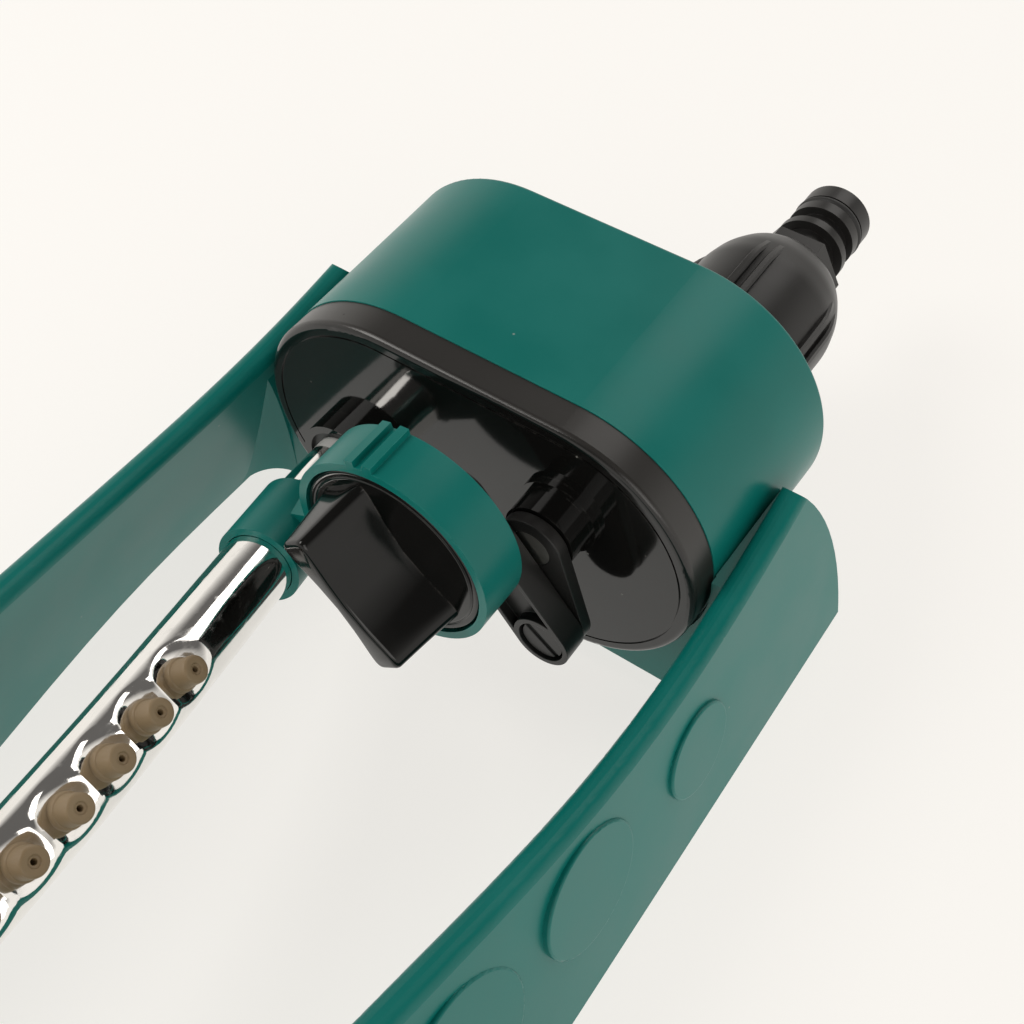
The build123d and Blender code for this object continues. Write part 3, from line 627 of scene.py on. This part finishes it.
def run_tree(tree, mesh, name, settings):
    """Runs a Geometry Nodes tree on a mesh and returns the plain mesh that it makes."""
    carrier = bpy.data.objects.new(name, mesh)
    bpy.context.scene.collection.objects.link(carrier)
    modifier = carrier.modifiers.new(tree.name, "NODES")
    modifier.node_group = tree
    sockets = {item.name: item.identifier for item in tree.interface.items_tree if item.in_out == "INPUT"}
    for label, value in settings.items():
        modifier[sockets[label]] = value
    return evaluated_mesh(carrier, name)


print("trees:", [tree.name for tree in bpy.data.node_groups if tree.bl_idname == "GeometryNodeTree"])

# %% [markdown]
# ## The spray tube
# The real tube is thin aluminium, bent into a long shallow arc, with a flat pressed into its wall round
# every nozzle. It could be sculpted, but both the path and the pressings follow rules. The centre line is
# worked out here, and a Geometry Nodes tree sweeps a circle along it and then pushes the wall in wherever
# it comes near one of the seats. The tube's plane leans with the nozzles.

# %% The tube's own plane and centre line
NOZZLE_TILT = math.radians(45.5)
TUBE_RISE = math.radians(17.5)
TUBE_R = 7.0 * MM
ARC_R = 290.0 * MM
BEND_R = 30.0 * MM
BEND_AT = 15.0 * MM
LEG_RUN = 54.0 * MM + ARC_R * math.tan(TUBE_RISE)
TUBE_START = 7.0 * MM
APEX_ALONG = BEND_AT + LEG_RUN * math.cos(TUBE_RISE)
ARC_CENTRE_UP = LEG_RUN * math.sin(TUBE_RISE) - ARC_R / math.cos(TUBE_RISE)
NOZZLE_COUNT = 19
TUBE_UP = Vector((math.cos(NOZZLE_TILT), 0, math.sin(NOZZLE_TILT)))
TUBE_SIDE = Vector((-math.sin(NOZZLE_TILT), 0, math.cos(NOZZLE_TILT)))


def in_tube_plane(along, up):
    """A point in the row frame from its places along the tube and up towards the nozzles."""
    return Vector((TUBE_X, COVER_Y - along, TUBE_Z)) + TUBE_UP * up


def bend_points(corner, arriving, leaving, radius, steps):
    """Points on the arc that rounds a corner between two directions in the tube's plane."""
    turn = abs(leaving - arriving)
    reach = radius * math.tan(turn / 2)
    side = 1 if leaving > arriving else -1
    start = Vector(corner) - reach * Vector((math.cos(arriving), math.sin(arriving)))
    middle = start + side * radius * Vector((-math.sin(arriving), math.cos(arriving)))
    points = []
    for step in range(steps + 1):
        heading = arriving + side * turn * step / steps
        points.append(middle - side * radius * Vector((-math.sin(heading), math.cos(heading))))
    return points


def tube_centre_line(spacing):
    """Evenly spaced points along the tube: straight, bend, rise, long arc, and the same mirrored."""
    corners = [(TUBE_START, 0), *bend_points((BEND_AT, 0), 0, TUBE_RISE, BEND_R, 12)]
    corners += bend_points((APEX_ALONG, LEG_RUN * math.sin(TUBE_RISE)), TUBE_RISE, -TUBE_RISE, ARC_R, 160)
    corners += [*bend_points((2 * APEX_ALONG - BEND_AT, 0), -TUBE_RISE, 0, BEND_R, 12)]
    corners.append((2 * APEX_ALONG - TUBE_START, 0))
    path = [Vector(corner) for corner in corners]
    lengths = [0.0]
    for before, after in zip(path, path[1:]):
        lengths.append(lengths[-1] + (after - before).length)
    count = round(lengths[-1] / spacing)
    points, stretch = [], 0
    for index in range(count + 1):
        target = lengths[-1] * index / count
        while stretch < len(path) - 2 and lengths[stretch + 1] < target:
            stretch += 1
        share = (target - lengths[stretch]) / (lengths[stretch + 1] - lengths[stretch])
        points.append(path[stretch].lerp(path[stretch + 1], share))
    return [in_tube_plane(*point) for point in points], lengths[-1]


def seat_points():
    """Where the nozzles come through the wall."""
    places = []
    for index in range(NOZZLE_COUNT):
        angle = TUBE_RISE * (2 * index / (NOZZLE_COUNT - 1) - 1)
        reach = ARC_R + TUBE_R
        along = APEX_ALONG + reach * math.sin(angle)
        places.append(in_tube_plane(along, ARC_CENTRE_UP + reach * math.cos(angle)))
    return places


# %% The tree that sweeps and dents
def build_tube_tree():
    """Geometry Nodes: sweeps a circle along a line, and presses a seat in round each given point."""
    tree = bpy.data.node_groups.new("pressed tube", "GeometryNodeTree")
    face = tree.interface
    face.new_socket("Centre line", in_out="INPUT", socket_type="NodeSocketGeometry")
    for label, kind in (("Seats", "NodeSocketObject"), ("Tube radius", "NodeSocketFloat"),
                        ("Seat depth", "NodeSocketFloat"), ("Seat flat", "NodeSocketFloat"),
                        ("Seat edge", "NodeSocketFloat"), ("Waviness", "NodeSocketFloat"),
                        ("Seed", "NodeSocketFloat"), ("Finish", "NodeSocketMaterial")):
        face.new_socket(label, in_out="INPUT", socket_type=kind)
    face.new_socket("Tube", in_out="OUTPUT", socket_type="NodeSocketGeometry")
    add, link = tree.nodes.new, tree.links.new
    given, out = add("NodeGroupInput"), add("NodeGroupOutput")
    curve = add("GeometryNodeMeshToCurve")
    link(given.outputs["Centre line"], curve.inputs["Mesh"])
    circle = add("GeometryNodeCurvePrimitiveCircle")
    circle.inputs["Resolution"].default_value = 96
    link(given.outputs["Tube radius"], circle.inputs["Radius"])
    sweep = add("GeometryNodeCurveToMesh")
    link(curve.outputs[0], sweep.inputs["Curve"])
    link(circle.outputs[0], sweep.inputs["Profile Curve"])
    sweep.inputs["Fill Caps"].default_value = True
    seats = add("GeometryNodeObjectInfo")
    link(given.outputs["Seats"], seats.inputs["Object"])
    near = add("GeometryNodeProximity")
    near.target_element = "POINTS"
    link(seats.outputs["Geometry"], near.inputs[0])
    press = ramp_between(tree, near.outputs["Distance"], given.outputs["Seat flat"],
                         given.outputs["Seat edge"], given.outputs["Seat depth"], 0.0)
    ripple = add("ShaderNodeTexNoise")
    ripple.noise_dimensions = "4D"
    ripple.inputs["Scale"].default_value = 70.0
    link(given.outputs["Seed"], ripple.inputs["W"])
    spread = math_node(tree, "MULTIPLY", ripple.outputs[0], given.outputs["Waviness"])
    depth = math_node(tree, "ADD", press, spread)
    normal = add("GeometryNodeInputNormal")
    inward = add("ShaderNodeVectorMath")
    inward.operation = "SCALE"
    link(normal.outputs[0], inward.inputs[0])
    link(math_node(tree, "MULTIPLY", depth, -1.0), inward.inputs["Scale"])
    moved = add("GeometryNodeSetPosition")
    link(sweep.outputs[0], moved.inputs["Geometry"])
    link(inward.outputs[0], moved.inputs["Offset"])
    real = add("GeometryNodeRealizeInstances")
    link(moved.outputs[0], real.inputs[0])
    coat = add("GeometryNodeSetMaterial")
    link(real.outputs[0], coat.inputs["Geometry"])
    link(given.outputs["Finish"], coat.inputs["Material"])
    link(coat.outputs[0], out.inputs["Tube"])
    return tree


def make_spray_tube():
    """The aluminium tube with its pressed seats."""
    line, length = tube_centre_line(0.8 * MM)
    path = bpy.data.meshes.new("tube line")
    path.from_pydata(line, [(i, i + 1) for i in range(len(line) - 1)], [])
    cloud = bpy.data.meshes.new("nozzle seats")
    cloud.from_pydata(seat_points(), [], [])
    seats = bpy.data.objects.new("nozzle seats", cloud)
    bpy.context.scene.collection.objects.link(seats)
    mesh = run_tree(build_tube_tree(), path, "pressed_spray_tube", {
        "Seats": seats, "Tube radius": TUBE_R, "Seat depth": 1.7 * MM, "Seat flat": 2.6 * MM,
        "Seat edge": 6.4 * MM, "Waviness": 0.1 * MM, "Seed": 3.0, "Finish": ALUMINIUM})
    bpy.data.objects.remove(seats)
    print("tube length", round(length / MM, 1), "mm")
    return finish_piece("pressed_spray_tube", mesh, ALUMINIUM, "tube", ["spray_tube"])


make_spray_tube()

# %% [markdown]
# ## The nozzles
# Each nozzle is a small rubber jet pushed out through its hole from inside: a flange that sits in the
# pressed seat, a short barrel with a softly rounded end and a fine bore. One jet is turned from a
# profile, at the arc's radius from the arc's centre, and the copies are turned about that centre.

# %% Nozzles
NOZZLE_TOP = TUBE_R + 3.1 * MM
NOZZLE_FOOT = 4.4 * MM


def make_nozzles():
    """The rubber jets along the arc."""
    end, foot = NOZZLE_TOP, NOZZLE_FOOT
    profile = [(0, foot), (3.05 * MM, foot), (3.05 * MM, 5.9 * MM), (2.9 * MM, 6.4 * MM),
               (2.62 * MM, 6.5 * MM), (2.42 * MM, end), (1.05 * MM, end), (0.95 * MM, end - 0.35 * MM),
               (0.5 * MM, end - 0.35 * MM), (0.5 * MM, end - 4.0 * MM), (0, end - 4.0 * MM)]
    rings = turned(eased(profile, 0.45 * MM, 3), 40)
    verts, faces = stacked_rings(rings)
    jet = closed_mesh("one jet", verts, faces)
    frame_turn = Matrix((TUBE_UP.cross(Vector((0, 1, 0))), (0, 1, 0), TUBE_UP)).transposed()
    jet.transform(Matrix.Translation((0, 0, ARC_R)))
    jet.transform(frame_turn.to_4x4())
    step = 2 * TUBE_RISE / (NOZZLE_COUNT - 1)
    mesh = run_tree(COPIES, jet, "rubber_nozzles", {
        "Count": NOZZLE_COUNT, "First angle": -TUBE_RISE, "Step angle": step, "Axis": TUBE_SIDE,
        "Centre": in_tube_plane(APEX_ALONG, ARC_CENTRE_UP), "Finish": TAN_RUBBER})
    return finish_piece("rubber_nozzles", mesh, TAN_RUBBER, "tube", ["nozzles"], 55)


make_nozzles()

# %% [markdown]
# ## The control dial
# The dial is a polished black disc with a waisted grip across it. The grip leans in towards its front
# band from all sides, and its two ends are wider than its middle. It is built as a stack of outlines,
# each a squared-off ellipse whose width grows with the distance from the middle.

# %% Dial
DIAL_X, DIAL_Z = axis_of("control_dial")
DIAL_FACE = ahead(27.2)
GRIP_TURN = math.radians(131)
GRIP_FRONT = ahead(41.4)
STUD_R = 3.0 * MM
STUD_LENGTH = 3.0 * MM
PIN_END_R = 6.0 * MM
EYE_END_R = 5.4 * MM
LINK_LOW, LINK_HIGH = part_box("link_arm")
CRANK_PIN = Vector((LINK_HIGH.x - PIN_END_R, 0, LINK_LOW.z + PIN_END_R))
LINK_SPAN = Vector((LINK_LOW.x + EYE_END_R, 0, LINK_HIGH.z - EYE_END_R)) - CRANK_PIN
print("link length", round(LINK_SPAN.length / MM, 2), "mm")


def grip_ring(y, half_length, half_end, half_waist, squareness=0.34, steps=120):
    """One outline of the grip at this Y, turned to the dial's setting."""
    ring = []
    for step in range(steps):
        angle = 2 * math.pi * step / steps
        c, s = math.cos(angle), math.sin(angle)
        u = half_length * math.copysign(abs(c) ** squareness, c)
        width = half_waist + (half_end - half_waist) * abs(u / half_length) ** 1.7
        v = width * math.copysign(abs(s) ** squareness, s)
        ring.append((DIAL_X + u * math.cos(GRIP_TURN) - v * math.sin(GRIP_TURN), y,
                     DIAL_Z + u * math.sin(GRIP_TURN) + v * math.cos(GRIP_TURN)))
    return ring


def grip_rings(levels=14, edge=1.1 * MM):
    """The grip's outlines from the disc to its rounded front."""
    rings = []
    base, front = DIAL_FACE + 0.6 * MM, GRIP_FRONT
    for level in range(levels + 1):
        share = level / levels
        lean = share ** 0.8
        rings.append(grip_ring(base + (front + edge - base) * share, (15.6 - 0.9 * lean) * MM,
                               (7.8 - 3.7 * lean) * MM, (3.9 - 2.2 * lean) * MM))
    for turn in (20, 40, 60, 75, 88):
        t = math.radians(turn)
        inset = edge * (1 - math.cos(t))
        rings.append(grip_ring(front + edge - edge * math.sin(t), 14.7 * MM - inset, 4.1 * MM - inset,
                               1.7 * MM - inset * 0.9))
    return rings


def joined_mesh(name, parts):
    """One mesh from several lists of points and faces."""
    verts, faces = [], []
    for points, sides in parts:
        start = len(verts)
        verts += [tuple(point) for point in points]
        faces += [tuple(start + corner for corner in side) for side in sides]
    return closed_mesh(name, verts, faces)


def placed(matrix, part):
    """Points and faces with the points moved by a matrix."""
    points, faces = part
    return [matrix @ Vector(point) for point in points], faces


def make_dial():
    """Disc, raised ring, grip and the rear stud."""
    disc = [(0, -10.0 * MM), (11.7 * MM, -10.0 * MM), (11.7 * MM, -8.2 * MM), (18.6 * MM, -8.2 * MM),
            (18.6 * MM, 0), (17.4 * MM, 0), (17.2 * MM, -0.25 * MM), (16.9 * MM, 0), (0, 0)]
    body = stacked_rings(turned(eased(disc, 0.6 * MM), 128))
    place = along_y(DIAL_X, DIAL_Z, DIAL_FACE, -1)
    stud_x, stud_z = CRANK_PIN.x + LINK_SPAN.x, CRANK_PIN.z + LINK_SPAN.z
    stud_profile = [(0, 0), (STUD_R, 0), (STUD_R, STUD_LENGTH), (0, STUD_LENGTH)]
    stud = stacked_rings(turned(eased(stud_profile, 0.3 * MM), 40))
    stud_place = along_y(stud_x, stud_z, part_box("control_dial")[1].y - STUD_LENGTH)
    mesh = joined_mesh("dial_with_grip", [
        placed(place, body), stacked_rings(grip_rings()), placed(stud_place, stud)])
    return finish_piece("dial_with_grip", mesh, GLOSS_BLACK, "dial", ["control_dial"], 50)


make_dial()

# %% [markdown]
# ## The swivel nut
# The nut that holds the hose coupling is domed at its rear, with five pairs of grip ribs. The domed
# body is turned from a profile, and one rib, tapered and rounded, is copied round it in two sets.

# %% Nut
NUT_FRONT, NUT_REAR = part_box("inlet_nut")[0].y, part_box("inlet_nut")[1].y
RIB_PAIRS = 5
RIB_FIRST_DEG = -93.0
RIB_SPREAD_DEG = 5.5
RIB_STEPS = 12


def make_nut():
    """The domed body and its ribs as one piece."""
    length = NUT_REAR - NUT_FRONT
    outside = [(13.8 * MM, 0), (16.3 * MM, 0), (16.6 * MM, 0.62 * length), (15.6 * MM, 0.78 * length),
               (13.6 * MM, 0.92 * length), (11.4 * MM, length), (8.0 * MM, length), (8.0 * MM, 18.0 * MM),
               (12.3 * MM, 17.0 * MM), (12.3 * MM, 10.0 * MM), (13.8 * MM, 10.0 * MM), (13.8 * MM, 0)]
    rings = turned(eased(outside, 1.6 * MM, 5), 144)
    verts, faces = stacked_rings(rings)
    place = along_y(INLET_X, INLET_Z, NUT_FRONT, 1)
    body = (verts, faces[2:])  # the profile closes on itself, so it needs no end caps
    rib_rings = []
    for step in range(RIB_STEPS + 1):
        share = step / RIB_STEPS
        height = (0.6 + 0.82 * (length / MM) * share) * MM
        rear_slope = max(0.0, (share - 0.6) / 0.4) ** 1.6
        front_slope = (1 - min(1, 8 * share)) ** 2
        crown = 17.75 * MM - 3.3 * MM * rear_slope - 1.2 * MM * front_slope
        half = 0.9 * MM
        rib_rings.append([(14.0 * MM, -half, height), (crown - 0.5 * MM, -half, height),
                          (crown, -half * 0.55, height), (crown, half * 0.55, height),
                          (crown - 0.5 * MM, half, height), (14.0 * MM, half, height)])
    rib = closed_mesh("one rib", *stacked_rings(rib_rings))
    rib.transform(Matrix.Rotation(-math.pi / 2, 4, "X"))
    rib.transform(Matrix.Translation((0, NUT_FRONT, 0)))
    parts = [placed(place, body)]
    for spread in (-RIB_SPREAD_DEG, RIB_SPREAD_DEG):
        ribs = run_tree(COPIES, rib.copy(), "ribs", {
            "Count": RIB_PAIRS, "First angle": math.radians(RIB_FIRST_DEG + spread),
            "Step angle": 2 * math.pi / RIB_PAIRS,
            "Axis": (0, 1, 0), "Centre": (INLET_X, 0, INLET_Z), "Finish": SATIN_BLACK})
        parts.append(([v.co.copy() for v in ribs.vertices], [tuple(f.vertices) for f in ribs.polygons]))
    return finish_piece("domed_swivel_nut", joined_mesh("domed_swivel_nut", parts), SATIN_BLACK, "nut",
                        ["inlet_nut"], 35)


make_nut()

# %% [markdown]
# ## Parts that keep their CAD shape
# The remaining mouldings are already right, but CAD leaves their edges razor sharp, and a real edge
# always catches a thin line of light. Each is copied and given the small radius of its own mould.

# %% Eased copies
EASED = [
    ("dial_holder", "clip_on_dial_ring", "tube", "teal_plastic", TEAL, 0.35),
    ("link_arm", "drive_link", "link", "satin_black", SATIN_BLACK, 0.25),
    ("crank_arm", "drive_crank", "crank", "satin_black", SATIN_BLACK, 0.25),
    ("link_screw", "crank_pin_screw", "crank", "satin_black", SATIN_BLACK, 0.15),
    ("hose_adapter", "quick_connect_spigot", "base", "satin_black", SATIN_BLACK, 0.25),
]
for node, name, body, slot, finish, width in EASED:
    finish_piece(name, eased_copy(node, width * MM, name), finish, body, [node], 0)

# %% Finishes for the parts that keep their CAD shape
FINISH = {
    "teal_plastic": TEAL,
    "gloss_black": GLOSS_BLACK,
    "satin_black": SATIN_BLACK,
    "black_rubber": RUBBER,
    "tan_rubber": TAN_RUBBER,
    "pale_plastic": PALE,
    "gear_plastic": GEAR_PLASTIC,
    "polished_aluminium": ALUMINIUM,
    "zinc_steel": ZINC,
}
for subpart in frame["record"]["subparts"]:
    piece = NODES[subpart["node"]]
    slot = subpart["material_slot"]
    piece.data.materials.clear()
    piece.data.materials.append(LID_BLACK if subpart["node"] == "front_cover" else FINISH[slot])
